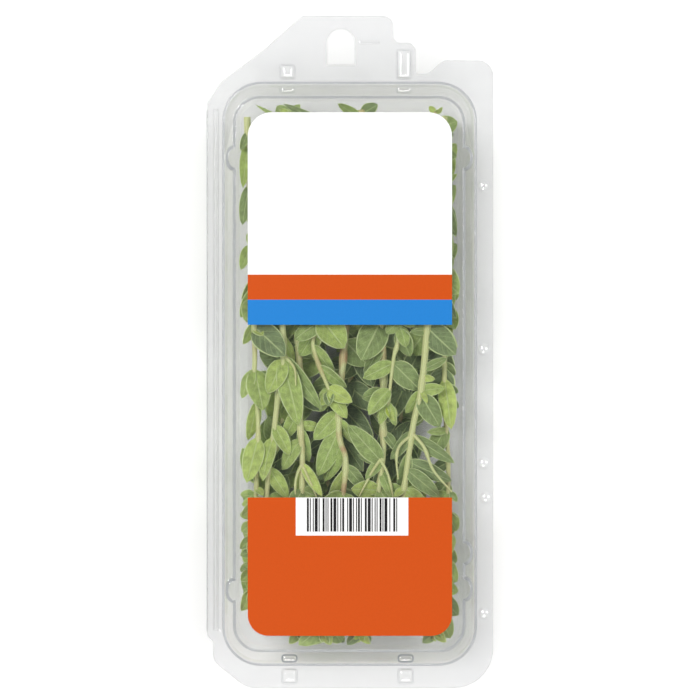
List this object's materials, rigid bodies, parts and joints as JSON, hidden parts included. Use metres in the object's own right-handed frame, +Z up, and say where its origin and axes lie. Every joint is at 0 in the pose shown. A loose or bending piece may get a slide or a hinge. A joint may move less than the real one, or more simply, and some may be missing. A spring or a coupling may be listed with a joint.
{
  "type": "fresh oregano clamshell pack",
  "caption": "Cut oregano sprigs in a clear hinged clamshell with a hang tab and a printed film label; the lid opens on its living hinge.",
  "frame": {"origin": "centre of the bounding box in plan, at the height of the surface that the tray's floor rests on", "axes": "+Z up out of the window, +Y along the pack towards the hang tab, -X the hinge side"},
  "size_m": [0.08, 0.188, 0.0244],
  "materials": {
    "clear_sheet": "clear thermoformed PET sheet",
    "label_film": "printed polypropylene film",
    "oregano": "fresh green leaves and stems"
  },
  "bodies": {
    "tray_body": {"tray": "clear_sheet", "sprig_01": "oregano", "sprig_02": "oregano", "sprig_03": "oregano", "sprig_04": "oregano", "sprig_05": "oregano", "sprig_06": "oregano", "sprig_07": "oregano", "sprig_08": "oregano", "sprig_09": "oregano", "sprig_10": "oregano", "sprig_11": "oregano", "sprig_12": "oregano"},
    "lid_body": {"lid": "clear_sheet", "label": "label_film"}
  },
  "joints": [
    {"name": "lid_hinge", "type": "hinge", "parent": "tray_body", "child": "lid_body", "pos_m": [-0.04, 0, 0.01915], "axis": [0, -1, 0], "range_deg": [0, 180]}
  ]
}
